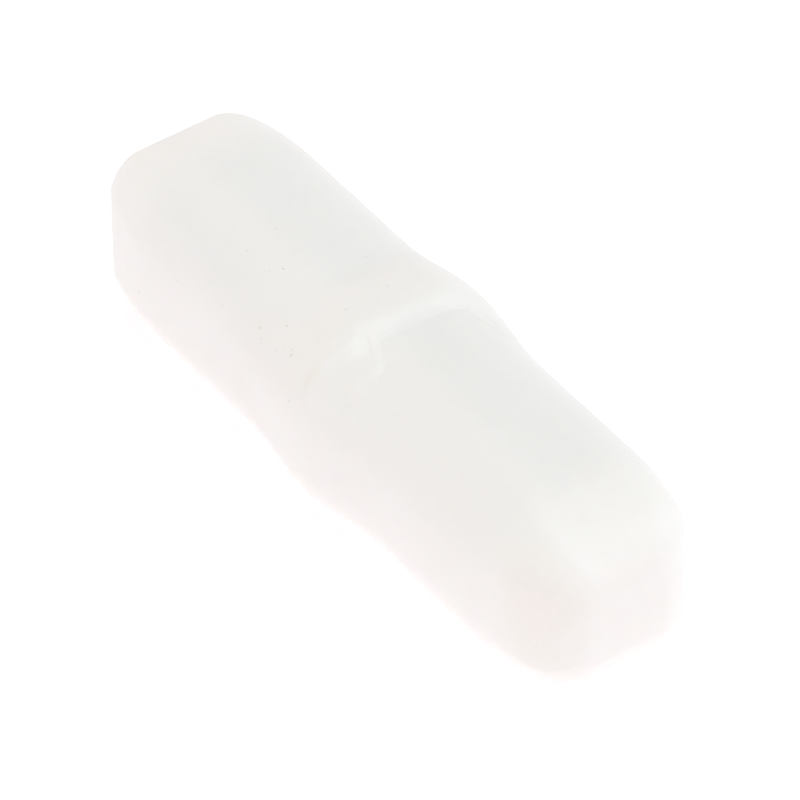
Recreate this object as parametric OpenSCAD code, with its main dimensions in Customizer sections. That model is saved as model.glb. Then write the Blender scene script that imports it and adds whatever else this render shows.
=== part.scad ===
// Magnetic stir bar: a rod magnet sealed inside a moulded fluoropolymer
// jacket of soft square section, with a low pivot ring round its middle.
// The bar lies along X and spins about Z on the flat under the ring.
// Origin: centre of the bar. Millimetres.

/* [Body] */
// Overall length of the bar
body_l = 20; // [16:0.5:30]
// Width of the body across its flat sides
body_w = 5.4; // [5:0.1:7]
// Radius of the four long corners
corner_r = 1.95; // [1.5:0.05:2.2]

/* [Rounded ends] */
// Radius of the long sweep that leads from each side into the end
sweep_r = 6.8; // [5:0.1:8]
// Angle that the sweep turns through, in degrees
sweep_a = 19; // [12:1:21]
// Radius of the tighter turn that follows the sweep
nose_r = 1.6; // [1:0.05:1.7]
// Slope of the side where it meets the flat end face, in degrees
nose_a = 77; // [60:1:85]
// How fast the corner radius shrinks with the section, as a power
corner_fade = 1.8; // [1:0.1:3]
// Angle of the creases that the ends have where a flat meets a corner
edge_a = 18; // [0:6:24]
// How fast those creases sharpen as the section shrinks, as a power
edge_fade = 8; // [0:1:10]
// Radius of those creases where they are sharpest
edge_min = 0.12; // [0.1:0.01:0.2]

/* [Pivot ring] */
// Height of the ring over the body, all the way round
ring_h = 0.3; // [0.15:0.05:0.6]
// Ring along X on the top and bottom flats: foot, crest, crest, foot
ring_flat = [-1.9, -0.6, -0.05, 0.72]; // [-4:0.05:4]
// Ring along X on the front shoulders, towards -Y: foot, crest, crest, foot
ring_front = [-1.9, 0.25, 0.3, 1.6]; // [-4:0.05:4]
// Ring along X round the sides: foot, crest, crest, foot
ring_side = [-2.7, 0, 0.05, 2.9]; // [-4:0.05:4]
// How late the near flank falls away on the flats, as a power
flat_fall = 2.5; // [1.5:0.1:4]
// How late the far flank rises on the front shoulders, as a power
front_rise = 3; // [1.5:0.1:4]
// Share of the ring's height left for a step at the front near foot
ring_step = 0.27; // [0:0.01:0.6]

/* [Magnet] */
// Wall of the jacket over the magnet at the middle of each flat side
flat_wall = 0.7; // [0.5:0.05:1.2]
// Wall of the jacket between the magnet and each end face
end_wall = 2; // [1.5:0.1:4]
// Chamfer on both ends of the magnet rod
magnet_chamfer = 0.3; // [0.1:0.05:0.5]
// Radial allowance between the rod and its pocket
pocket_gap = 0.01; // [0:0.01:0.05]

/* [Smoothness] */
// Steps round each long corner
corner_steps = 15; // [6:1:16]
// Steps along each sweep
sweep_steps = 4; // [3:1:6]
// Steps along each nose turn
nose_steps = 9; // [5:1:10]
// Steps up the far flank of the ring
flank_steps = 7; // [4:1:8]
// Steps up its near flank
near_steps = 12; // [6:1:12]
// Facets round the magnet and its pocket
round_fn = 64; // [32:8:96]

/* [Hidden] */

half_l = body_l / 2;
half_w = body_w / 2;

// Inset of the side after the sweep, and after the nose
sweep_in = sweep_r * (1 - cos(sweep_a));
nose_in = nose_r * (cos(sweep_a) - cos(nose_a));
// Length along X of the sweep and of the nose
sweep_run = sweep_r * sin(sweep_a);
nose_run = nose_r * (sin(nose_a) - sin(sweep_a));
end_run = sweep_run + nose_run;
// Half width of the flat end face
end_half_w = half_w - sweep_in - nose_in;

magnet_d = body_w - 2 * flat_wall;
magnet_l = body_l - 2 * end_wall;

// Angles from the vertical over which the ring passes from its form on the
// flats to that on the front shoulders, for its far and its near edges
far_to_front = [0, 36];
near_to_front = [4, 18];
// Angles over which it passes to its form on the sides: in front, at the front
// near foot, and behind
front_to_side = [30, 60];
foot_to_side = [48, 66];
back_to_side = [14, 60];
// Angles over which the step at the front near foot dies away
step_out = [44, 60];
// Parts of the front near flank, from the crest, at which the slope ends and
// the step begins
slope_end = 0.57;
step_start = 0.83;

// Number of points round each section
around = 4 * (corner_steps + 1);

function smooth(t) = t * t * (3 - 2 * t);
function clamp(t) = min(max(t, 0), 1);
function ease(a, span) = smooth(clamp((a - span[0]) / (span[1] - span[0])));
function blend(a, b, t) = a + (b - a) * t;

// Corner radius of an end section of half width w, and the tighter radius of
// the edge where that corner meets a flat
function section_r(w) = corner_r * pow(w / half_w, corner_fade);
function edge_r(w) = max(section_r(w) * pow(w / half_w, edge_fade), edge_min);

// Direction of the outward normal at point i of a section, in degrees from
// +Y towards +Z
function normal_a(i) =
    let (quarter = floor(i / (corner_steps + 1)), step = i % (corner_steps + 1))
    90 * (quarter + step / corner_steps);

// Signs of the corner that point i belongs to
function corner_y(i) = let (q = floor(i / (corner_steps + 1))) (q == 0 || q == 3) ? 1 : -1;
function corner_z(i) = let (q = floor(i / (corner_steps + 1))) (q < 2) ? 1 : -1;

// Angle of the normal from the nearer of straight up and straight down
function from_vertical(i) = abs(normal_a(i) % 180 - 90);

// Point i of a square section of half width w at station x, whose corners have
// radius r and meet the flats through an edge of radius e
function section_point(i, x, w, r, e) =
    let (
        a = from_vertical(i),
        side = w - e,
        middle = side - (r - e) * cos(edge_a),
        flat = middle + (r - e) * sin(edge_a),
        inside = a > edge_a && a < 90 - edge_a,
        y = inside ? middle : a < 45 ? flat : side,
        z = inside ? middle : a < 45 ? side : flat,
        reach = inside ? r : e
    )
    [
        x,
        corner_y(i) * y + reach * cos(normal_a(i)),
        corner_z(i) * z + reach * sin(normal_a(i))
    ];

// Whether point i lies on the front half
function in_front(i) = corner_y(i) < 0;

// The ring's four edges along X at point i
function ring_edges(i) =
    let (
        a = from_vertical(i),
        far = ease(a, far_to_front),
        near = ease(a, near_to_front),
        side = ease(a, front_to_side),
        turns = [[far, side], [far, side], [near, side], [near, ease(a, foot_to_side)]]
    )
    [
        for (k = [0 : 3])
            in_front(i)
                ? blend(blend(ring_flat[k], ring_front[k], turns[k][0]), ring_side[k], turns[k][1])
                : blend(ring_flat[k], ring_side[k], ease(a, back_to_side))
    ];

// Rise of the far flank at point i, from 0 at the foot to 1 at the crest
function far_rise(i, t) =
    let (a = from_vertical(i), late = ease(a, far_to_front) * (1 - ease(a, front_to_side)))
    in_front(i) ? blend(smooth(t), pow(t, front_rise), late) : smooth(t);

// Fall of the near flank at point i, from 0 at the crest to 1 at the foot
function near_fall(i, t) =
    let (
        a = from_vertical(i),
        flat = pow(t, flat_fall),
        slope = smooth(clamp(t / slope_end)),
        drop = smooth(clamp((t - step_start) / (1 - step_start))),
        front = blend(slope, drop, ring_step * (1 - ease(a, step_out)))
    )
    in_front(i)
        ? blend(blend(flat, front, ease(a, near_to_front)), smooth(t), ease(a, step_out))
        : blend(flat, smooth(t), ease(a, back_to_side));

// Point i of the ring at station x, raised over the body
function ring_point(i, x, rise) = section_point(i, x, half_w + rise, corner_r + rise, corner_r + rise);

// Sections of the ring's far flank, from its foot, and near flank, from its crest
function far_flank(t) = [
    for (i = [0 : around - 1])
        let (edges = ring_edges(i))
        ring_point(i, blend(edges[0], edges[1], t), ring_h * far_rise(i, t))
];
function near_flank(t) = [
    for (i = [0 : around - 1])
        let (edges = ring_edges(i))
        ring_point(i, blend(edges[2], edges[3], t), ring_h * (1 - near_fall(i, t)))
];

// Distance from the start of the end rounding and inset there, at step k
function end_profile(k) =
    k <= sweep_steps
        ? let (a = sweep_a * k / sweep_steps)
          [sweep_r * sin(a), sweep_r * (1 - cos(a))]
        : let (a = blend(sweep_a, nose_a, (k - sweep_steps) / nose_steps))
          [
              sweep_run + nose_r * (sin(a) - sin(sweep_a)),
              sweep_in + nose_r * (cos(sweep_a) - cos(a))
          ];

// One section of an end, at step k; side is -1 or 1
function end_section(side, k) =
    let (p = end_profile(k), x = side * (half_l - end_run + p[0]), w = half_w - p[1])
    [for (i = [0 : around - 1]) section_point(i, x, w, section_r(w), edge_r(w))];

end_steps = sweep_steps + nose_steps;
sections = concat(
    [for (k = [end_steps : -1 : 0]) end_section(-1, k)],
    [for (k = [0 : flank_steps]) far_flank(k / flank_steps)],
    [for (k = [0 : near_steps]) near_flank(k / near_steps)],
    [for (k = [0 : end_steps]) end_section(1, k)]
);

// Skins a list of equal sections, lying one after another along +X
module loft(sections) {
    count = len(sections);
    n = len(sections[0]);
    points = [for (s = sections) each s];
    sides = [
        for (k = [0 : count - 2], i = [0 : n - 1])
            let (
                a = k * n + i,
                b = k * n + (i + 1) % n,
                c = b + n,
                d = a + n
            )
            each [[a, c, b], [a, d, c]]
    ];
    first = [for (i = [0 : n - 1]) i];
    last = [for (i = [n - 1 : -1 : 0]) (count - 1) * n + i];
    polyhedron(points = points, faces = concat([first], sides, [last]));
}

// Rod along X with chamfered ends, grown by gap on its round side only
module rod(gap) {
    r = magnet_d / 2 + gap;
    half = magnet_l / 2;
    flat = half - magnet_chamfer;
    rotate([0, 90, 0])
        rotate_extrude($fn = round_fn)
            polygon([
                [0, -half],
                [r - magnet_chamfer, -half],
                [r, -flat],
                [r, flat],
                [r - magnet_chamfer, half],
                [0, half]
            ]);
}

// Jacket with its integral ring, moulded round the magnet as one piece
module jacket() {
    color([0.93, 0.92, 0.9])
        difference() {
            loft(sections);
            rod(pocket_gap);
        }
}

// Magnet rod, sealed in the jacket
module magnet() {
    color([0.42, 0.42, 0.44])
        rod(0);
}

jacket();
magnet();
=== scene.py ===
"""Dressed model of a magnetic stir bar.

The bar is a rod magnet sealed in a moulded fluoropolymer jacket of soft square
section. Its ends are rounded off to small flat faces, and a low pivot ring runs
round its middle: a crisp band on the flats, a narrow ridge on the front
shoulders and a long soft swelling round the sides.

Metres throughout, with +X along the bar and +Z up.
"""

import logging
import math
from collections.abc import Callable
from dataclasses import dataclass, field
from enum import Enum
from functools import cached_property

import bpy
from mathutils import Matrix, Vector

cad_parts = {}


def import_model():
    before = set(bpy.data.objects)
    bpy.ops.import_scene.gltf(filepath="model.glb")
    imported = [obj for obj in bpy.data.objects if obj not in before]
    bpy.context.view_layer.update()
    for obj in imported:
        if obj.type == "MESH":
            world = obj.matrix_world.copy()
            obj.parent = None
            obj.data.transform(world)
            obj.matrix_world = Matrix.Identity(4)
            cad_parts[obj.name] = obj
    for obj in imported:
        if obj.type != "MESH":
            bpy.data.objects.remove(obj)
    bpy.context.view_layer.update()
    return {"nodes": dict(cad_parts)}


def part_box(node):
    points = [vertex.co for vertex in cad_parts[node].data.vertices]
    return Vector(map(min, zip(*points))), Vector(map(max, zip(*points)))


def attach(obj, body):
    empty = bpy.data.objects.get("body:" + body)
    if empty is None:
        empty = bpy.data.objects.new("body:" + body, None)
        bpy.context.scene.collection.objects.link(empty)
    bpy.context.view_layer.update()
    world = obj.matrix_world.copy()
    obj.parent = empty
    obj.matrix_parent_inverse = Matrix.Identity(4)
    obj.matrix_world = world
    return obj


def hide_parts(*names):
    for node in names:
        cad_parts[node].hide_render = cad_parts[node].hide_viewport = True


LOG = logging.getLogger("stir_bar")

MM = 0.001
QUARTER_TURN = math.pi / 2.0
DEGREES_PER_RADIAN = 180.0 / math.pi
HALF_TURN_DEGREES = 180.0
QUARTER_TURN_DEGREES = 90.0
EIGHTH_TURN_DEGREES = 45.0

# The skin's grids: columns round each of the four corners, of which a quarter
# lie on the flat before it, a half on the corner and a quarter on the flat after
SIDES = 4
COLUMNS_PER_SIDE = 36
FLAT_SHARE = 0.25
CORNER_SHARE = 0.5

# Rows along X in each strip of the skin
FACE_ROWS = 12
NOSE_ROWS = 26
SWEEP_ROWS = 14
BARREL_ROWS = 24
FAR_FLANK_ROWS = 20
CREST_ROWS = 6
NEAR_FLANK_ROWS = 32

# Powers by which rows crowd towards the rim of an end face and the ring's foot
RIM_CROWDING = 0.5
FOOT_CROWDING = 2.0

# Points of neighbouring strips nearer than this are one
MERGE_DISTANCE = 1e-6

Triple = tuple[float, float, float]
Colour = Triple
Pair = tuple[float, float]
Span = Pair

WHITE: Colour = (1.0, 1.0, 1.0)
OPAQUE = 1.0


class Direction(Enum):
    """Which way along X a stretch of the jacket faces."""

    FAR = -1
    NEAR = 1


class RingPart(Enum):
    """The parts of the section on which the ring has a form of its own."""

    FLAT = "flat"
    FRONT = "front"
    SIDE = "side"


class RingEdge(Enum):
    """The ring's four edges, in order along X."""

    FAR_FOOT = "far foot"
    FAR_CREST = "far crest"
    NEAR_CREST = "near crest"
    NEAR_FOOT = "near foot"


class Mixing(Enum):
    """How a tint goes into a colour."""

    COVERING = "MIX"
    MULTIPLIED = "MULTIPLY"


class Number:
    """A number inside a node tree, whose arithmetic adds Math nodes."""

    def __init__(self, tree: bpy.types.NodeTree, socket: bpy.types.NodeSocket) -> None:
        """Wraps an output socket of the tree."""
        self.tree = tree
        self.socket = socket

    def _math(self, operation: str, *others: "Number | float") -> "Number":
        """Adds one Math node.

        Args:
            operation: the node's operation.
            others: the second and third operands.

        Returns:
            The node's result.
        """
        node = self.tree.nodes.new("ShaderNodeMath")
        node.operation = operation
        self.tree.links.new(self.socket, node.inputs[0])
        for place, other in enumerate(others, start=1):
            if isinstance(other, Number):
                self.tree.links.new(other.socket, node.inputs[place])
            else:
                node.inputs[place].default_value = other
        return Number(self.tree, node.outputs[0])

    def __add__(self, other: "Number | float") -> "Number":
        """Returns the sum."""
        return self._math("ADD", other)

    def __radd__(self, other: float) -> "Number":
        """Returns the sum."""
        return self._math("ADD", other)

    def __sub__(self, other: "Number | float") -> "Number":
        """Returns the difference."""
        return self._math("SUBTRACT", other)

    def __rsub__(self, other: float) -> "Number":
        """Returns other less this number."""
        return self._math("MULTIPLY", -1.0)._math("ADD", other)

    def __mul__(self, other: "Number | float") -> "Number":
        """Returns the product."""
        return self._math("MULTIPLY", other)

    def __rmul__(self, other: float) -> "Number":
        """Returns the product."""
        return self._math("MULTIPLY", other)

    def __truediv__(self, other: "Number | float") -> "Number":
        """Returns the quotient."""
        return self._math("DIVIDE", other)

    def power(self, exponent: "Number | float") -> "Number":
        """Returns this number to a power."""
        return self._math("POWER", exponent)

    def squared(self) -> "Number":
        """Returns the square."""
        return self.power(2.0)

    def root(self) -> "Number":
        """Returns the square root."""
        return self.power(0.5)

    def sin(self) -> "Number":
        """Returns the sine of an angle in radians."""
        return self._math("SINE")

    def cos(self) -> "Number":
        """Returns the cosine of an angle in radians."""
        return self._math("COSINE")

    def floor(self) -> "Number":
        """Returns the whole number below."""
        return self._math("FLOOR")

    def absolute(self) -> "Number":
        """Returns the size without its sign."""
        return self._math("ABSOLUTE")

    def modulo(self, divisor: float) -> "Number":
        """Returns the remainder, never negative."""
        return self._math("FLOORED_MODULO", divisor)

    def below(self, limit: "Number | float") -> "Number":
        """Returns 1 where this number is below the limit, and 0 elsewhere."""
        return self._math("LESS_THAN", limit)

    def at_least(self, limit: "Number | float") -> "Number":
        """Returns this number, or the limit where that is higher."""
        return self._math("MAXIMUM", limit)

    def at_most(self, limit: "Number | float") -> "Number":
        """Returns this number, or the limit where that is lower."""
        return self._math("MINIMUM", limit)

    def clamped(self) -> "Number":
        """Returns this number held between 0 and 1."""
        return self.at_least(0.0).at_most(1.0)

    def smooth(self) -> "Number":
        """Returns a smooth step of a number between 0 and 1."""
        return self * self * (3.0 - 2.0 * self)

    def eased(self, start: float, end: float) -> "Number":
        """Returns a smooth step from 0 at start to 1 at end."""
        return ((self - start) / (end - start)).clamped().smooth()

    def blended(self, other: "Number", share: "Number | float") -> "Number":
        """Returns this number blended towards another by a share from 0 to 1."""
        return self + (other - self) * share


Values = dict[str, Number]


@dataclass(frozen=True)
class Walk:
    """How far a column of the skin has come on its way round the section.

    The way starts under the bar and turns from +Y towards +Z. Each side of it
    is half a flat, a corner and half the next flat.

    Attributes:
        side: which of the four sides.
        before: share walked of the flat before the corner.
        turn: share walked of the corner.
        after: share walked of the flat after the corner.
    """

    side: Number
    before: Number
    turn: Number
    after: Number

    @classmethod
    def to(cls, around: Number) -> "Walk":
        """Splits a place round the section into its stretches.

        Args:
            around: the place, from 0 to 4.

        Returns:
            The walk to it.
        """
        side = around.floor().at_most(SIDES - 1.0)
        part = around - side
        return cls(
            side=side,
            before=(part / FLAT_SHARE).clamped(),
            turn=((part - FLAT_SHARE) / CORNER_SHARE).clamped(),
            after=((part - (1.0 - FLAT_SHARE)) / FLAT_SHARE).clamped(),
        )

    @cached_property
    def _side_angle(self) -> Number:
        """Returns the direction that the side starts facing, in radians."""
        return (self.side - 1.0) * QUARTER_TURN

    @cached_property
    def facing(self) -> Number:
        """Returns the direction of the normal, in radians from +Y towards +Z."""
        return self._side_angle + self.turn * QUARTER_TURN

    @cached_property
    def normal(self) -> Number:
        """Returns the angle of the normal from the vertical, in degrees."""
        degrees = self.facing * DEGREES_PER_RADIAN
        return (degrees.modulo(HALF_TURN_DEGREES) - QUARTER_TURN_DEGREES).absolute()

    @cached_property
    def middles(self) -> tuple[Number, Number]:
        """Works out which corner the column is nearest, and how near.

        Returns:
            Numbers from -1 to 1 across and up the section, held at the corners.
        """
        cosine, sine = self._side_angle.cos(), self._side_angle.sin()
        across = cosine * (1.0 - self.after) - sine * self.before
        upwards = sine * (1.0 - self.after) + cosine * self.before
        return across, upwards

    def girth(self, flat: Number, arc: Number) -> Number:
        """Works out the distance walked, counted from the top centre line.

        Args:
            flat: half the length of a flat.
            arc: length of a corner.

        Returns:
            The distance, which grows towards the front.
        """
        quarter = flat * 2.0 + arc
        walked = self.side * quarter + flat * (self.before + self.after) + arc * self.turn
        return walked - quarter * (SIDES / 2.0)


@dataclass(frozen=True)
class RingLines:
    """Where the ring's edges lie along X, all round the section.

    The spans are angles of the normal from the vertical, in degrees, over which
    the ring passes from one form to the next.
    """

    values: Values
    normal: Number
    front: Number
    far_to_front: Span = (0.0, 36.0)
    near_to_front: Span = (4.0, 18.0)
    front_to_side: Span = (30.0, 60.0)
    foot_to_side: Span = (48.0, 66.0)
    back_far_to_side: Span = (14.0, 60.0)
    back_near_to_side: Span = (24.0, 62.0)
    step_in: Span = (13.0, 19.0)
    step_out: Span = (44.0, 60.0)

    def edge(self, edge: RingEdge) -> Number:
        """Finds one of the ring's edges.

        Args:
            edge: which edge.

        Returns:
            Its place along X.
        """
        flat, shoulder, side = (self.values[f"{part.value} {edge.value}"] for part in RingPart)
        far = edge in (RingEdge.FAR_FOOT, RingEdge.FAR_CREST)
        to_front = self.far_to_front if far else self.near_to_front
        to_side = self.foot_to_side if edge is RingEdge.NEAR_FOOT else self.front_to_side
        behind = self.back_far_to_side if far else self.back_near_to_side
        front_line = flat.blended(shoulder, self.normal.eased(*to_front))
        front_line = front_line.blended(side, self.normal.eased(*to_side))
        back_line = flat.blended(side, self.normal.eased(*behind))
        return back_line.blended(front_line, self.front)

    def far_rise(self, t: Number) -> Number:
        """Works out how far the far flank has risen.

        Args:
            t: 0 at the foot to 1 at the crest.

        Returns:
            The rise, from 0 to 1.
        """
        on_shoulder = self.normal.eased(*self.far_to_front)
        late = on_shoulder * (1.0 - self.normal.eased(*self.front_to_side))
        return t.smooth().blended(t.power(self.values["front rise"]), late * self.front)

    def near_fall(self, t: Number) -> Number:
        """Works out how far the near flank has fallen.

        Args:
            t: 0 at the crest to 1 at the foot.

        Returns:
            The fall, from 0 to 1.
        """
        flat = t.power(self.values["flat fall"])
        slope_end, step_start = self.values["slope end"], self.values["step start"]
        slope = (t / slope_end).clamped().smooth()
        drop = ((t - step_start) / (1.0 - step_start)).clamped().smooth()
        fading = self.normal.eased(*self.step_out)
        step = self.values["front step"] * self.normal.eased(*self.step_in) * (1.0 - fading)
        shoulder = slope.blended(drop, step)
        in_front = flat.blended(shoulder, self.normal.eased(*self.near_to_front))
        in_front = in_front.blended(t.smooth(), fading)
        behind = flat.blended(t.smooth(), self.normal.eased(*self.back_near_to_side))
        return behind.blended(in_front, self.front)


@dataclass(frozen=True)
class Station:
    """A section of the jacket: its place along X and its measures."""

    x: Number
    half_width: Number
    radius: Number
    edge: Number


Shape = Callable[[Number, RingLines], Station]


@dataclass(frozen=True)
class Sections:
    """Works out the jacket's sections from the tree's inputs."""

    values: Values

    def narrowed(self, x: Number, half_width: Number) -> Station:
        """Makes a section of an end, whose corners tighten as it shrinks.

        Args:
            x: place along X.
            half_width: half its width.

        Returns:
            The section.
        """
        v = self.values
        share = half_width / v["half width"]
        radius = v["corner radius"] * share.power(v["corner fade"])
        edge = (radius * share.power(v["edge fade"])).at_least(v["sharpest edge"])
        return Station(x, half_width, radius, edge)

    def raised(self, x: Number, rise: Number | float) -> Station:
        """Returns the barrel's section, grown all round by a rise."""
        radius = self.values["corner radius"] + rise
        return Station(x, self.values["half width"] + rise, radius, radius)


@dataclass(frozen=True)
class EndSections(Sections):
    """The sections of one end: its flat face, nose, sweep and straight barrel.

    Each shape takes t, from 0 to 1 along X, and the ring's lines.
    """

    way: Direction

    def _outward(self, t: Number) -> Number:
        """Returns t counted outwards, towards the end."""
        return t if self.way is Direction.NEAR else 1.0 - t

    def _sweep_point(self, angle: Number) -> tuple[Number, Number]:
        """Returns how far along and how far in the sweep's side is at a slope."""
        radius = self.values["sweep radius"]
        return radius * angle.sin(), radius * (1.0 - angle.cos())

    def _nose_point(self, angle: Number) -> tuple[Number, Number]:
        """Finds a point of the nose, which follows the sweep.

        Args:
            angle: slope of the side there, in radians.

        Returns:
            How far along it lies from the sweep's start, and how far in.
        """
        turned = self.values["sweep angle"]
        radius = self.values["nose radius"]
        along, inset = self._sweep_point(turned)
        along = along + radius * (angle.sin() - turned.sin())
        return along, inset + radius * (turned.cos() - angle.cos())

    @cached_property
    def _rim(self) -> tuple[Number, Number]:
        """Returns how far along and how far in the nose meets the end face."""
        return self._nose_point(self.values["nose angle"])

    @cached_property
    def _start(self) -> Number:
        """Returns how far from the middle the sweep starts."""
        run, _ = self._rim
        return self.values["half length"] - run

    def _drawn_in(self, along: Number, inset: Number) -> Station:
        """Returns the section at a distance along the end, drawn in by an inset."""
        x = (self._start + along) * float(self.way.value)
        return self.narrowed(x, self.values["half width"] - inset)

    def face(self, t: Number, _lines: RingLines) -> Station:
        """Shapes the flat end face, shrinking to its middle.

        Args:
            t: place in the strip.
            _lines: unused.

        Returns:
            The section.
        """
        share = (1.0 - self._outward(t)).power(RIM_CROWDING)
        _, inset = self._rim
        x = self.values["half length"] * float(self.way.value)
        whole = self.narrowed(x, self.values["half width"] - inset)
        return Station(x, whole.half_width * share, whole.radius * share, whole.edge * share)

    def nose(self, t: Number, _lines: RingLines) -> Station:
        """Returns the section of the tight turn next to the end face."""
        angle = self.values["sweep angle"].blended(self.values["nose angle"], self._outward(t))
        return self._drawn_in(*self._nose_point(angle))

    def sweep(self, t: Number, _lines: RingLines) -> Station:
        """Returns the section of the long sweep from the barrel into the nose."""
        angle = self.values["sweep angle"] * self._outward(t)
        return self._drawn_in(*self._sweep_point(angle))

    def barrel(self, t: Number, lines: RingLines) -> Station:
        """Shapes the straight stretch between the ring and the sweep.

        Args:
            t: place in the strip.
            lines: the ring's lines.

        Returns:
            The section.
        """
        near = self.way is Direction.NEAR
        foot = lines.edge(RingEdge.NEAR_FOOT if near else RingEdge.FAR_FOOT)
        start = self._start * float(self.way.value)
        return self.raised(foot.blended(start, self._outward(t).power(FOOT_CROWDING)), 0.0)


@dataclass(frozen=True)
class RingSections(Sections):
    """The sections of the ring's two flanks and its crest."""

    def far_flank(self, t: Number, lines: RingLines) -> Station:
        """Returns the section of the flank on the far side."""
        x = lines.edge(RingEdge.FAR_FOOT).blended(lines.edge(RingEdge.FAR_CREST), t)
        return self.raised(x, self.values["ring height"] * lines.far_rise(t))

    def crest(self, t: Number, lines: RingLines) -> Station:
        """Returns the section of the band on top."""
        x = lines.edge(RingEdge.FAR_CREST).blended(lines.edge(RingEdge.NEAR_CREST), t)
        return self.raised(x, self.values["ring height"])

    def near_flank(self, t: Number, lines: RingLines) -> Station:
        """Returns the section of the flank on the near side."""
        x = lines.edge(RingEdge.NEAR_CREST).blended(lines.edge(RingEdge.NEAR_FOOT), t)
        return self.raised(x, self.values["ring height"] * (1.0 - lines.near_fall(t)))


@dataclass
class JacketTree:
    """Builds the geometry node tree that lofts the jacket's skin.

    The skin is a row of strips. Each strip is a grid whose columns go round the
    section, starting under the bar, and whose rows go along X.
    """

    inputs: dict[str, float]
    material: bpy.types.Material
    tree: bpy.types.NodeTree = field(init=False)
    identifiers: dict[str, str] = field(init=False)
    values: Values = field(init=False)

    def __post_init__(self) -> None:
        """Makes the tree and its named inputs."""
        self.tree = bpy.data.node_groups.new("jacket_loft", "GeometryNodeTree")
        interface = self.tree.interface
        interface.new_socket("Geometry", in_out="OUTPUT", socket_type="NodeSocketGeometry")
        for name, value in self.inputs.items():
            socket = interface.new_socket(name, in_out="INPUT", socket_type="NodeSocketFloat")
            socket.default_value = value
        self.identifiers = {
            item.name: item.identifier
            for item in interface.items_tree
            if item.in_out == "INPUT"
        }
        group_input = self.tree.nodes.new("NodeGroupInput")
        self.values = {
            name: Number(self.tree, group_input.outputs[name]) for name in self.inputs
        }

    def _grid(self, rows: int) -> tuple[bpy.types.NodeSocket, Number, Number]:
        """Adds the flat grid that a strip is bent from.

        Args:
            rows: number of rows along X.

        Returns:
            The grid, each point's place round the section, from 0 to 4, and its
            place along the strip, from 0 to 1.
        """
        tree = self.tree
        grid = tree.nodes.new("GeometryNodeMeshGrid")
        grid.inputs["Size X"].default_value = float(SIDES)
        grid.inputs["Size Y"].default_value = 1.0
        grid.inputs["Vertices X"].default_value = SIDES * COLUMNS_PER_SIDE + 1
        grid.inputs["Vertices Y"].default_value = rows + 1
        position = tree.nodes.new("GeometryNodeInputPosition")
        split = tree.nodes.new("ShaderNodeSeparateXYZ")
        tree.links.new(position.outputs[0], split.inputs[0])
        around = Number(tree, split.outputs[0]) + SIDES / 2.0
        along = Number(tree, split.outputs[1]) + 0.5
        return grid.outputs["Mesh"], around, along

    def _strip(self, rows: int, shape: Shape) -> bpy.types.NodeSocket:
        """Builds one strip of the skin.

        Args:
            rows: number of rows along X.
            shape: function that gives the section at t, from 0 to 1 along X,
                where the ring's edges lie along the given lines.

        Returns:
            The strip's geometry.
        """
        tree = self.tree
        grid, around, along = self._grid(rows)
        walk = Walk.to(around)
        across, _ = walk.middles
        station = shape(along, RingLines(self.values, walk.normal, across.below(0.0)))
        place = tree.nodes.new("ShaderNodeCombineXYZ")
        for socket, number in zip(place.inputs, (station.x, *self._on_section(station, walk))):
            tree.links.new(number.socket, socket)
        move = tree.nodes.new("GeometryNodeSetPosition")
        tree.links.new(self._unrolled(grid, station.x, walk), move.inputs["Geometry"])
        tree.links.new(place.outputs[0], move.inputs["Position"])
        return move.outputs["Geometry"]

    def _on_section(self, station: Station, walk: Walk) -> tuple[Number, Number]:
        """Finds a point of a section.

        The corner is a wide arc that meets each flat through a tighter one.

        Args:
            station: the section.
            walk: the way round it to the point.

        Returns:
            The point's Y and Z.
        """
        angle, normal = walk.facing, walk.normal
        across, upwards = walk.middles
        edge_angle = self.values["edge angle"]
        inset = station.radius - station.edge
        side_centre = station.half_width - station.edge
        corner_centre = side_centre - inset * edge_angle.cos()
        flat_centre = corner_centre + inset * edge_angle.sin()
        upright = normal.below(EIGHTH_TURN_DEGREES)
        off_diagonal = (normal - EIGHTH_TURN_DEGREES).absolute()
        in_corner = off_diagonal.below(EIGHTH_TURN_DEGREES - edge_angle * DEGREES_PER_RADIAN)
        centre_y = side_centre.blended(flat_centre, upright).blended(corner_centre, in_corner)
        centre_z = flat_centre.blended(side_centre, upright).blended(corner_centre, in_corner)
        reach = station.edge.blended(station.radius, in_corner)
        return across * centre_y + reach * angle.cos(), upwards * centre_z + reach * angle.sin()

    def _unrolled(
        self, geometry: bpy.types.NodeSocket, x: Number, walk: Walk
    ) -> bpy.types.NodeSocket:
        """Stores the place on the unrolled skin, for patterns that follow it.

        Args:
            geometry: the strip.
            x: place along the bar.
            walk: the way round the section.

        Returns:
            The strip with its unrolled attribute: x, and the distance round the
            section from the top centre line towards the front.
        """
        tree = self.tree
        radius = self.values["corner radius"]
        girth = walk.girth(self.values["half width"] - radius, radius * QUARTER_TURN)
        combine = tree.nodes.new("ShaderNodeCombineXYZ")
        tree.links.new(x.socket, combine.inputs[0])
        tree.links.new(girth.socket, combine.inputs[1])
        store = tree.nodes.new("GeometryNodeStoreNamedAttribute")
        store.data_type = "FLOAT_VECTOR"
        store.domain = "CORNER"
        store.inputs["Name"].default_value = "unrolled"
        tree.links.new(geometry, store.inputs["Geometry"])
        tree.links.new(combine.outputs[0], store.inputs["Value"])
        return store.outputs["Geometry"]

    def _end_strips(self, way: Direction) -> list[bpy.types.NodeSocket]:
        """Builds the strips of one end.

        Args:
            way: which end.

        Returns:
            Its face, nose, sweep and barrel.
        """
        end = EndSections(self.values, way)
        return [
            self._strip(FACE_ROWS, end.face),
            self._strip(NOSE_ROWS, end.nose),
            self._strip(SWEEP_ROWS, end.sweep),
            self._strip(BARREL_ROWS, end.barrel),
        ]

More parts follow.
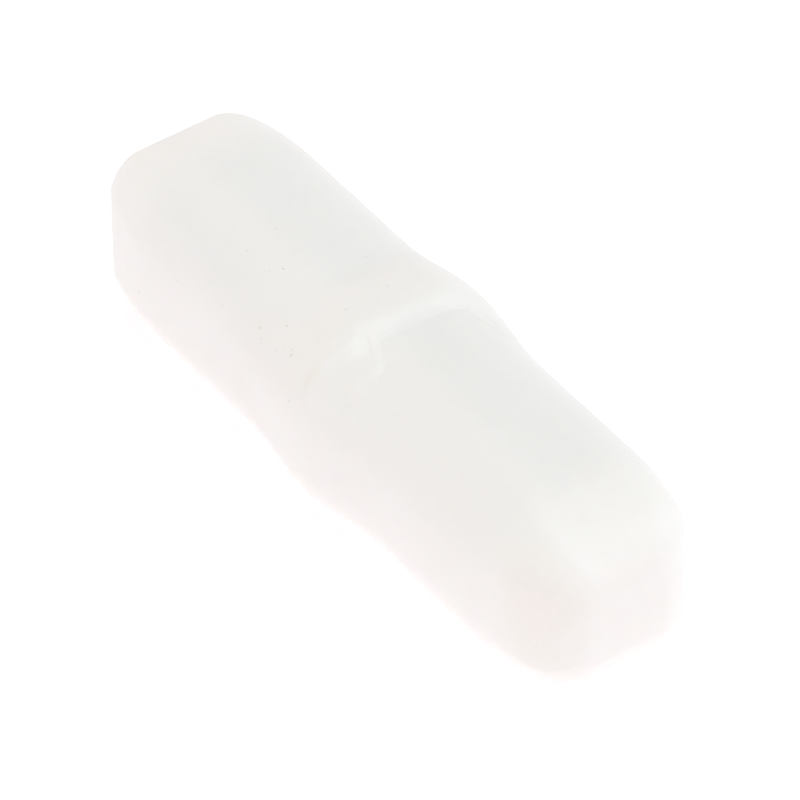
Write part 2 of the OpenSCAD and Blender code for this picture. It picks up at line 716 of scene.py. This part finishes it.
    def _ring_strips(self) -> list[bpy.types.NodeSocket]:
        """Builds the strips of the ring.

        Returns:
            Its far flank, crest and near flank.
        """
        ring = RingSections(self.values)
        return [
            self._strip(FAR_FLANK_ROWS, ring.far_flank),
            self._strip(CREST_ROWS, ring.crest),
            self._strip(NEAR_FLANK_ROWS, ring.near_flank),
        ]

    def build(self) -> None:
        """Joins the strips into one closed skin with its material."""
        tree = self.tree
        strips = [
            *self._end_strips(Direction.FAR),
            *self._ring_strips(),
            *self._end_strips(Direction.NEAR),
        ]
        join = tree.nodes.new("GeometryNodeJoinGeometry")
        for strip in strips:
            tree.links.new(strip, join.inputs[0])
        merge = tree.nodes.new("GeometryNodeMergeByDistance")
        merge.inputs["Distance"].default_value = MERGE_DISTANCE
        smooth = tree.nodes.new("GeometryNodeSetShadeSmooth")
        realize = tree.nodes.new("GeometryNodeRealizeInstances")
        paint = tree.nodes.new("GeometryNodeSetMaterial")
        paint.inputs["Material"].default_value = self.material
        output = tree.nodes.new("NodeGroupOutput")
        last = join.outputs[0]
        for node in (merge, smooth, realize, paint):
            tree.links.new(last, node.inputs["Geometry"])
            last = node.outputs["Geometry"]
        tree.links.new(last, output.inputs[0])


@dataclass(frozen=True)
class Grain:
    """A noise: the size of its blotches, its finer octaves and its stretch."""

    size: float
    detail: float = 2.0
    stretch: Triple = (1.0, 1.0, 1.0)


@dataclass(frozen=True)
class Mottle:
    """A faint tint that comes in between two values of a noise."""

    grain: Grain
    tint: Colour
    span: Span


@dataclass(frozen=True)
class Speck:
    """A dark speck in the skin, placed on the unrolled jacket in millimetres."""

    along: float
    girth: float
    width: float


@dataclass(frozen=True)
class PaintedShade:
    """A soft patch of painted shade on the unrolled jacket, in millimetres."""

    along: float
    girth: float
    reach_along: float
    reach_round: float
    tint: Colour


class ShaderTree:
    """A material's node tree, with short ways to add the nodes that a finish needs."""

    def __init__(self, name: str) -> None:
        """Makes the material."""
        self.material = bpy.data.materials.new(name)
        self.material.use_nodes = True
        self.tree = self.material.node_tree
        self.shader = self.tree.nodes["Principled BSDF"]

    def set(self, name: str, value: float | tuple[float, ...]) -> None:
        """Sets one of the shader's own sockets."""
        self.shader.inputs[name].default_value = value

    def link(self, source: bpy.types.NodeSocket, name: str) -> None:
        """Links a socket to one of the shader's inputs."""
        self.tree.links.new(source, self.shader.inputs[name])

    def object_place(self) -> bpy.types.NodeSocket:
        """Returns the piece's own coordinates."""
        return self.tree.nodes.new("ShaderNodeTexCoord").outputs["Object"]

    def split(self, vector: bpy.types.NodeSocket) -> tuple[Number, ...]:
        """Returns a vector's three parts."""
        node = self.tree.nodes.new("ShaderNodeSeparateXYZ")
        self.tree.links.new(vector, node.inputs[0])
        return tuple(Number(self.tree, socket) for socket in node.outputs)

    def attribute(self, name: str) -> bpy.types.NodeSocket:
        """Returns a mesh attribute's vector."""
        node = self.tree.nodes.new("ShaderNodeAttribute")
        node.attribute_name = name
        return node.outputs["Vector"]

    def noise(self, grain: Grain) -> Number:
        """Adds a noise on Object coordinates.

        Args:
            grain: its size, detail and stretch.

        Returns:
            The noise, about 0 to 1.
        """
        mapping = self.tree.nodes.new("ShaderNodeMapping")
        mapping.inputs["Scale"].default_value = tuple(part / grain.size for part in grain.stretch)
        self.tree.links.new(self.object_place(), mapping.inputs["Vector"])
        node = self.tree.nodes.new("ShaderNodeTexNoise")
        node.inputs["Scale"].default_value = 1.0
        node.inputs["Detail"].default_value = grain.detail
        self.tree.links.new(mapping.outputs["Vector"], node.inputs["Vector"])
        return Number(self.tree, node.outputs["Fac"])

    def distance(self, vector: bpy.types.NodeSocket, point: Triple) -> Number:
        """Measures how far a vector is from a point.

        Args:
            vector: the vector's socket.
            point: the fixed point.

        Returns:
            The distance.
        """
        node = self.tree.nodes.new("ShaderNodeVectorMath")
        node.operation = "DISTANCE"
        self.tree.links.new(vector, node.inputs[0])
        node.inputs[1].default_value = point
        return Number(self.tree, node.outputs["Value"])

    def colour(self, colour: Colour) -> bpy.types.NodeSocket:
        """Returns a plain colour to start a mix from."""
        node = self.tree.nodes.new("ShaderNodeRGB")
        node.outputs[0].default_value = (*colour, OPAQUE)
        return node.outputs[0]

    def tinted(
        self,
        base: bpy.types.NodeSocket,
        tint: Colour,
        share: Number,
        mixing: Mixing = Mixing.MULTIPLIED,
    ) -> bpy.types.NodeSocket:
        """Mixes a tint into a colour.

        Args:
            base: the colour so far.
            tint: the colour mixed in.
            share: how much of it, from 0 to 1.
            mixing: how it goes in.

        Returns:
            The mixed colour.
        """
        node = self.tree.nodes.new("ShaderNodeMix")
        node.data_type = "RGBA"
        node.blend_type = mixing.value
        factor, first, second = (
            next(i for i in node.inputs if i.name == name and i.type == kind)
            for name, kind in (("Factor", "VALUE"), ("A", "RGBA"), ("B", "RGBA"))
        )
        self.tree.links.new(share.socket, factor)
        self.tree.links.new(base, first)
        second.default_value = (*tint, OPAQUE)
        return next(o for o in node.outputs if o.type == "RGBA")

    def bump(self, height: Number, depth: float) -> None:
        """Raises the surface.

        Args:
            height: the form of the bumps, about 0 to 1.
            depth: their real depth at 1.
        """
        node = self.tree.nodes.new("ShaderNodeBump")
        node.inputs["Strength"].default_value = 1.0
        node.inputs["Distance"].default_value = depth
        self.tree.links.new(height.socket, node.inputs["Height"])
        self.tree.links.new(node.outputs["Normal"], self.shader.inputs["Normal"])


@dataclass(frozen=True)
class FluoropolymerFinish:
    """Milky white moulded fluoropolymer with a satin surface.

    The dark magnet shows faintly through the wall where the wall is thinnest, and painted shade
    darkens the top and the +Y side over the magnet more than the underside and the -Y side.
    """

    magnet_reach: float
    specks: tuple[Speck, ...]
    # Soft patches of painted shade
    painted_shades: tuple[PaintedShade, ...]
    colour: Colour = (0.915, 0.897, 0.879)
    over_magnet: Colour = (0.985, 0.987, 0.988)
    # The tint over the thin wall is partly painted shade: its centre is set off towards the top
    # and +Y, which makes the top and the +Y side darker and cooler
    thin_wall_and_top_shade: Colour = (0.962, 0.975, 0.982)
    thin_wall_and_top_shade_span: Span = (2.4 * MM, 2.85 * MM)
    magnet_end: Span = (-1.2 * MM, 0.4 * MM)
    top_shade_offset: Pair = (0.4 * MM, 0.25 * MM)
    mottles: tuple[Mottle, ...] = (
        Mottle(Grain(2.6 * MM, stretch=(0.6, 1.0, 1.0)), (0.99, 0.988, 0.985), (0.42, 0.66)),
        Mottle(Grain(0.22 * MM), (0.994, 0.993, 0.992), (0.45, 0.7)),
    )
    # Patches of painted shade fade out between these shares of their reach
    painted_shade_fade: Span = (0.15, 1.0)
    speck_colour: Colour = (0.74, 0.71, 0.68)
    speck_fade: Span = (0.25, 0.6)
    roughness: Span = (0.36, 0.5)
    satin: Grain = Grain(0.6 * MM, 3.0)
    fine_bumps: Grain = Grain(0.09 * MM, 3.0)
    fine_bump_share: float = 0.3
    soft_bumps: Grain = Grain(1.1 * MM, 1.0)
    bump_depth: float = 0.004 * MM
    ior: float = 1.35
    scatter_share: float = 0.35
    scatter_depth: float = 1.3 * MM
    scatter_shares: Triple = (1.0, 0.9, 0.8)

    def material(self) -> bpy.types.Material:
        """Makes the jacket's material.

        Returns:
            The material.
        """
        tree = ShaderTree("jacket_fluoropolymer")
        shade = self._magnet_and_top_shade(tree, tree.colour(self.colour))
        shade = self._mottled(tree, shade)
        shade = self._with_painted_shade(tree, shade)
        tree.link(self._specked(tree, shade), "Base Color")
        low, high = self.roughness
        tree.link((tree.noise(self.satin) * (high - low) + low).socket, "Roughness")
        fine = tree.noise(self.fine_bumps) * self.fine_bump_share
        tree.bump(fine + tree.noise(self.soft_bumps), self.bump_depth)
        tree.set("IOR", self.ior)
        tree.set("Subsurface Weight", self.scatter_share)
        tree.set("Subsurface Radius", self.scatter_shares)
        tree.set("Subsurface Scale", self.scatter_depth)
        return tree.material

    def _magnet_and_top_shade(
        self, tree: ShaderTree, shade: bpy.types.NodeSocket
    ) -> bpy.types.NodeSocket:
        """Darkens the skin where the magnet shows through, with painted shade on the top and the
        +Y side.

        Args:
            tree: the material's tree.
            shade: the colour so far.

        Returns:
            The darkened colour.
        """
        x, y, z = tree.split(tree.object_place())
        # Painted shade: the thin-wall tint is centred off the magnet's axis, towards the top and
        # +Y, so it darkens those two sides and leaves the others
        offset_y, offset_z = self.top_shade_offset
        from_axis = ((y - offset_y).squared() + (z - offset_z).squared()).root()
        thin_and_top_shaded = 1.0 - from_axis.eased(*self.thin_wall_and_top_shade_span)
        before, past = self.magnet_end
        over = 1.0 - x.absolute().eased(self.magnet_reach + before, self.magnet_reach + past)
        shade = tree.tinted(shade, self.over_magnet, over)
        return tree.tinted(shade, self.thin_wall_and_top_shade, thin_and_top_shaded * over)

    def _mottled(self, tree: ShaderTree, shade: bpy.types.NodeSocket) -> bpy.types.NodeSocket:
        """Returns the colour with its faint mottling."""
        for mottle in self.mottles:
            shade = tree.tinted(shade, mottle.tint, tree.noise(mottle.grain).eased(*mottle.span))
        return shade

    def _with_painted_shade(self, tree: ShaderTree, shade: bpy.types.NodeSocket) -> bpy.types.NodeSocket:
        """Adds the patches of painted shade.

        Args:
            tree: the material's tree.
            shade: the colour so far.

        Returns:
            The stained colour.
        """
        along, girth, _ = tree.split(tree.attribute("unrolled"))
        for patch in self.painted_shades:
            away_along = (along - patch.along * MM) / (patch.reach_along * MM)
            away_round = (girth - patch.girth * MM) / (patch.reach_round * MM)
            away = (away_along.squared() + away_round.squared()).root()
            shade = tree.tinted(shade, patch.tint, 1.0 - away.eased(*self.painted_shade_fade))
        return shade

    def _specked(self, tree: ShaderTree, shade: bpy.types.NodeSocket) -> bpy.types.NodeSocket:
        """Adds the specks.

        Args:
            tree: the material's tree.
            shade: the colour so far.

        Returns:
            The specked colour.
        """
        place = tree.attribute("unrolled")
        for speck in self.specks:
            away = tree.distance(place, (speck.along * MM, speck.girth * MM, 0.0))
            start, end = (share * speck.width * MM for share in self.speck_fade)
            inside = 1.0 - away.eased(start, end)
            shade = tree.tinted(shade, self.speck_colour, inside, Mixing.COVERING)
        return shade


@dataclass(frozen=True)
class MagnetFinish:
    """Ground magnet alloy, with faint marks along the rod."""

    colour: Colour = (0.30, 0.30, 0.31)
    dark_share: float = 0.85
    roughness: Span = (0.37, 0.53)
    marks: Grain = Grain(MM, 3.0, (0.4, 6.0, 6.0))

    def material(self) -> bpy.types.Material:
        """Makes the magnet's material.

        Returns:
            The material.
        """
        tree = ShaderTree("magnet_alloy")
        tree.set("Metallic", 1.0)
        marks = tree.noise(self.marks)
        low, high = self.roughness
        tree.link((marks * (high - low) + low).socket, "Roughness")
        red, green, blue = (part * self.dark_share for part in self.colour)
        dark = tree.colour((red, green, blue))
        tree.link(tree.tinted(dark, self.colour, marks, Mixing.COVERING), "Base Color")
        return tree.material


@dataclass(frozen=True)
class RingEdges:
    """The ring's four edges along X, on one part of the section."""

    far_foot: float
    far_crest: float
    near_crest: float
    near_foot: float

    def named(self, part: RingPart) -> dict[str, float]:
        """Returns the edges by the names of the tree's inputs."""
        places = (self.far_foot, self.far_crest, self.near_crest, self.near_foot)
        return {f"{part.value} {edge.value}": place for edge, place in zip(RingEdge, places)}


# Placed to a tenth of a millimetre
SPECKS = (
    Speck(along=-7.4, girth=5.0, width=0.07),
    Speck(along=-5.6, girth=3.4, width=0.05),
    Speck(along=-4.3, girth=0.5, width=0.05),
    Speck(along=-4.2, girth=1.5, width=0.05),
    Speck(along=-3.8, girth=3.0, width=0.05),
    Speck(along=-3.2, girth=1.5, width=0.04),
    Speck(along=-3.0, girth=1.2, width=0.07),
    Speck(along=-2.3, girth=2.7, width=0.07),
    Speck(along=-2.1, girth=-0.7, width=0.05),
    Speck(along=-2.1, girth=2.9, width=0.05),
    Speck(along=-1.6, girth=2.2, width=0.07),
    Speck(along=-1.4, girth=2.8, width=0.05),
    Speck(along=-0.9, girth=2.5, width=0.05),
    Speck(along=-0.8, girth=2.6, width=0.08),
    Speck(along=-0.6, girth=-0.3, width=0.05),
    Speck(along=-0.5, girth=1.0, width=0.05),
    Speck(along=-0.3, girth=3.5, width=0.07),
)

# Painted shade: a brownish darkening on the front shoulder, beside the ring's far side
SHOULDER_PAINTED_SHADE = PaintedShade(
    along=-1.4, girth=3.2, reach_along=2.2, reach_round=1.6, tint=(0.985, 0.975, 0.966)
)
# Painted shade: a cool darkening along the front corner of the far half
FAR_CORNER_PAINTED_SHADE = PaintedShade(
    along=-4.7, girth=2.1, reach_along=3.6, reach_round=1.3, tint=(0.982, 0.985, 0.989)
)
# Painted shade: a faint warm cast along the ring's crest, from how light falls on it
RING_PAINTED_SHADE = PaintedShade(
    along=-0.4, girth=1.0, reach_along=1.0, reach_round=4.5, tint=(1.0, 0.992, 0.982)
)
# Painted shade: a narrow brownish darkening at the ring's far edge on the front shoulder, where
# the ring meets the body
RING_EDGE_PAINTED_SHADE = PaintedShade(
    along=0.15, girth=2.6, reach_along=0.25, reach_round=0.9, tint=(0.982, 0.966, 0.95)
)
# Painted shade: a brownish darkening on the front corner of the near end
END_PAINTED_SHADE = PaintedShade(
    along=9.0, girth=3.6, reach_along=1.3, reach_round=2.6, tint=(0.984, 0.965, 0.945)
)
PAINTED_SHADES = (SHOULDER_PAINTED_SHADE, FAR_CORNER_PAINTED_SHADE, RING_PAINTED_SHADE, RING_EDGE_PAINTED_SHADE, END_PAINTED_SHADE)


@dataclass
class Jacket:
    """The moulded jacket with its rounded ends and pivot ring."""

    length: float
    width_over_ring: float
    ring_height: float = 0.3 * MM
    corner_radius: float = 1.95 * MM
    corner_fade: float = 1.8
    edge_angle: float = math.radians(18.0)
    edge_fade: float = 8.0
    sharpest_edge: float = 0.12 * MM
    sweep_radius: float = 6.8 * MM
    sweep_angle: float = math.radians(19.0)
    nose_radius: float = 1.6 * MM
    nose_angle: float = math.radians(77.0)
    flat_fall: float = 3.2
    front_rise: float = 3.0
    front_step: float = 0.4
    slope_end: float = 0.55
    step_start: float = 0.87
    ring_on_flat: RingEdges = RingEdges(
        far_foot=-1.9 * MM, far_crest=-0.6 * MM, near_crest=-0.05 * MM, near_foot=0.72 * MM
    )
    ring_on_front: RingEdges = RingEdges(
        far_foot=-1.9 * MM, far_crest=0.25 * MM, near_crest=0.3 * MM, near_foot=1.6 * MM
    )
    ring_on_side: RingEdges = RingEdges(
        far_foot=-2.7 * MM, far_crest=0.0, near_crest=0.05 * MM, near_foot=2.9 * MM
    )
    magnet_reach: float = 8.0 * MM

    def inputs(self) -> dict[str, float]:
        """Gathers the sizes that the node tree takes.

        Returns:
            The sizes by name.
        """
        return {
            "half length": self.length / 2.0,
            "half width": self.width_over_ring / 2.0 - self.ring_height,
            "corner radius": self.corner_radius,
            "corner fade": self.corner_fade,
            "edge angle": self.edge_angle,
            "edge fade": self.edge_fade,
            "sharpest edge": self.sharpest_edge,
            "flat fall": self.flat_fall,
            "front rise": self.front_rise,
            "front step": self.front_step,
            "slope end": self.slope_end,
            "step start": self.step_start,
            "sweep radius": self.sweep_radius,
            "sweep angle": self.sweep_angle,
            "nose radius": self.nose_radius,
            "nose angle": self.nose_angle,
            "ring height": self.ring_height,
            **self.ring_on_flat.named(RingPart.FLAT),
            **self.ring_on_front.named(RingPart.FRONT),
            **self.ring_on_side.named(RingPart.SIDE),
        }

    def _mesh(self, material: bpy.types.Material) -> bpy.types.Mesh:
        """Runs the node tree and keeps what it makes.

        Args:
            material: the skin's material.

        Returns:
            The skin's plain mesh.
        """
        loft = JacketTree(self.inputs(), material)
        loft.build()
        carrier = bpy.data.objects.new("jacket_loft", bpy.data.meshes.new("jacket_loft"))
        bpy.context.scene.collection.objects.link(carrier)
        modifier = carrier.modifiers.new("loft", "NODES")
        modifier.node_group = loft.tree
        for name, value in loft.inputs.items():
            modifier[loft.identifiers[name]] = value
        evaluated = carrier.evaluated_get(bpy.context.evaluated_depsgraph_get())
        mesh = bpy.data.meshes.new_from_object(evaluated)
        bpy.data.objects.remove(carrier)
        mesh.name = "jacket_skin"
        mesh.materials.clear()
        mesh.materials.append(material)
        return mesh

    def build(self) -> bpy.types.Object:
        """Builds and dresses the jacket's skin.

        Returns:
            The finished piece, which stands for the CAD jacket.
        """
        finish = FluoropolymerFinish(self.magnet_reach, SPECKS, PAINTED_SHADES)
        skin = bpy.data.objects.new("jacket_skin", self._mesh(finish.material()))
        bpy.context.scene.collection.objects.link(skin)
        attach(skin, "root")
        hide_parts("jacket")
        return skin


@dataclass
class Magnet:
    """The rod magnet, which keeps its CAD solid."""

    node: bpy.types.Object
    finish: MagnetFinish = MagnetFinish()

    def dress(self) -> bpy.types.Object:
        """Gives the rod its metal.

        Returns:
            The rod.
        """
        self.node.data.materials.clear()
        self.node.data.materials.append(self.finish.material())
        return self.node


def direction(azimuth: float, elevation: float) -> Vector:
    """Works out a direction from the bar.

    Args:
        azimuth: degrees round Z, 0 towards -Y and 90 towards +X.
        elevation: degrees above the horizon.

    Returns:
        The unit vector.
    """
    turn = math.radians(azimuth)
    lift = math.radians(elevation)
    return Vector(
        (
            math.sin(turn) * math.cos(lift),
            -math.cos(turn) * math.cos(lift),
            math.sin(lift),
        )
    )


@dataclass(frozen=True)
class Lamp:
    """A soft square lamp that points at the bar."""

    name: str
    azimuth: float
    elevation: float
    width: float
    brightness: float
    colour: Colour
    distance: float = 0.35

    def place(self) -> bpy.types.Object:
        """Sets the lamp up in the scene.

        Returns:
            The lamp.
        """
        light = bpy.data.lights.new(self.name, "AREA")
        light.shape = "SQUARE"
        light.size = self.width
        light.energy = self.brightness * math.pi * self.width**2
        light.color = self.colour
        lamp = bpy.data.objects.new(self.name, light)
        back = direction(self.azimuth, self.elevation)
        lamp.location = back * self.distance
        lamp.rotation_mode = "QUATERNION"
        lamp.rotation_quaternion = back.to_track_quat("Z", "Y")
        bpy.context.scene.collection.objects.link(lamp)
        return lamp


def looking(tree: bpy.types.NodeTree) -> Number:
    """Tells rays that look at the background from rays that light the bar.

    Args:
        tree: the background's node tree.

    Returns:
        1 for what the camera sees, directly, in a reflection or through glass,
        and 0 for all other rays.
    """
    path = tree.nodes.new("ShaderNodeLightPath")
    camera, glossy, through = (
        Number(tree, path.outputs[name])
        for name in ("Is Camera Ray", "Is Glossy Ray", "Is Transmission Ray")
    )
    return camera.at_least(glossy).at_least(through)


# Tints of the lamps
WARM: Colour = (1.0, 0.84, 0.82)
COOL: Colour = (0.8, 0.98, 1.0)
PALE: Colour = (0.93, 0.97, 1.0)

LAMPS = (
    Lamp("overhead", azimuth=0.0, elevation=90.0, width=0.22, brightness=3.65, colour=WHITE),
    Lamp("right_softbox", azimuth=135.0, elevation=50.0, width=0.3, brightness=0.7, colour=COOL),
    Lamp("right_high", azimuth=100.0, elevation=50.0, width=0.3, brightness=0.2, colour=WARM),
    Lamp("left_wall", azimuth=-10.0, elevation=15.0, width=0.45, brightness=0.8, colour=COOL),
    Lamp("front_wall", azimuth=25.0, elevation=15.0, width=0.45, brightness=0.65, colour=WARM),
    Lamp("far_wall", azimuth=-90.0, elevation=15.0, width=0.45, brightness=0.8, colour=WARM),
    Lamp("right_wall", azimuth=130.0, elevation=15.0, width=0.45, brightness=0.95, colour=PALE),
    Lamp("back_wall", azimuth=170.0, elevation=15.0, width=0.45, brightness=0.48, colour=PALE),
)


@dataclass
class Studio:
    """Floor, daylight, lamps and camera."""

    floor_height: float
    floor_width: float = 2.0
    floor_colour: Colour = (0.93, 0.93, 0.93)
    floor_glow: float = 0.38
    floor_glow_colour: Colour = (1.0, 0.84, 0.92)
    floor_whiteness: float = 0.7
    daylight: float = 0.06
    daylight_colour: Colour = (1.0, 0.97, 0.75)
    azimuth: float = 55.461
    elevation: float = 41.665
    roll: float = -1.137
    distance: float = 0.29752
    lens: float = 535.7
    shift_x: float = 0.0082
    shift_y: float = -0.0081
    clip_start: float = 0.01
    clip_end: float = 10.0
    lamps: tuple[Lamp, ...] = LAMPS

    def build(self) -> list[bpy.types.Object]:
        """Sets up everything round the bar.

        Returns:
            The floor, the lamps and the camera.
        """
        self._daylight()
        bpy.context.scene.view_settings.view_transform = "Standard"
        return [self._floor(), *(lamp.place() for lamp in self.lamps), self._camera()]

    def _daylight(self) -> None:
        """Makes the even light of a white tent, seen as plain white."""
        world = bpy.data.worlds.new("white_tent")
        world.use_nodes = True
        nodes = world.node_tree.nodes
        links = world.node_tree.links
        light = nodes["Background"]
        light.inputs["Strength"].default_value = self.daylight
        light.inputs["Color"].default_value = (*self.daylight_colour, OPAQUE)
        shown = nodes.new("ShaderNodeBackground")
        shown.inputs["Color"].default_value = (*WHITE, OPAQUE)
        mix = nodes.new("ShaderNodeMixShader")
        links.new(looking(world.node_tree).socket, mix.inputs[0])
        links.new(light.outputs[0], mix.inputs[1])
        links.new(shown.outputs[0], mix.inputs[2])
        links.new(mix.outputs[0], nodes["World Output"].inputs["Surface"])
        bpy.context.scene.world = world

    def _floor_material(self) -> bpy.types.Material:
        """Makes the floor's white, which glows faintly like a light table.

        Returns:
            The material.
        """
        tree = ShaderTree("floor_white")
        nodes = tree.tree.nodes
        links = tree.tree.links
        tree.set("Base Color", (*self.floor_colour, OPAQUE))
        tree.set("Roughness", 1.0)
        tree.set("Specular IOR Level", 0.0)
        tree.set("Emission Color", (*self.floor_glow_colour, OPAQUE))
        tree.set("Emission Strength", self.floor_glow)
        white = nodes.new("ShaderNodeEmission")
        mix = nodes.new("ShaderNodeMixShader")
        links.new((looking(tree.tree) * self.floor_whiteness).socket, mix.inputs[0])
        links.new(tree.shader.outputs[0], mix.inputs[1])
        links.new(white.outputs[0], mix.inputs[2])
        links.new(mix.outputs[0], nodes["Material Output"].inputs["Surface"])
        return tree.material

    def _floor(self) -> bpy.types.Object:
        """Lays the floor that the ring stands on.

        Returns:
            The floor.
        """
        half = self.floor_width / 2.0
        mesh = bpy.data.meshes.new("floor")
        corners = [
            (x, y, self.floor_height)
            for x, y in ((-half, -half), (half, -half), (half, half), (-half, half))
        ]
        mesh.from_pydata(corners, [], [(0, 1, 2, 3)])
        mesh.materials.append(self._floor_material())
        floor = bpy.data.objects.new("floor", mesh)
        bpy.context.scene.collection.objects.link(floor)
        return floor

    def _camera(self) -> bpy.types.Object:
        """Places the camera, looking down along the bar from its near end.

        Returns:
            The camera.
        """
        data = bpy.data.cameras.new("camera")
        data.lens = self.lens
        data.shift_x = self.shift_x
        data.shift_y = self.shift_y
        data.clip_start = self.clip_start
        data.clip_end = self.clip_end
        camera = bpy.data.objects.new("camera", data)
        back = direction(self.azimuth, self.elevation)
        camera.location = back * self.distance
        camera.rotation_mode = "QUATERNION"
        facing = (-back).to_track_quat("-Z", "Y")
        tilt = Matrix.Rotation(math.radians(self.roll), 4, "Z").to_quaternion()
        camera.rotation_quaternion = facing @ tilt
        bpy.context.scene.collection.objects.link(camera)
        bpy.context.scene.camera = camera
        return camera


def main() -> None:
    """Builds the bar and the studio."""
    logging.basicConfig(level=logging.INFO, format="%(name)s %(message)s")
    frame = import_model()
    low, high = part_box("jacket")
    skin = Jacket(length=high.x - low.x, width_over_ring=high.z - low.z).build()
    LOG.info("%s: %d faces", skin.name, len(skin.data.polygons))
    rod = Magnet(frame["nodes"]["magnet"]).dress()
    LOG.info("%s: dressed in %s", rod.name, rod.data.materials[0].name)
    for piece in Studio(floor_height=low.z).build():
        LOG.info("%s: placed", piece.name)


if __name__ == "__main__":
    main()
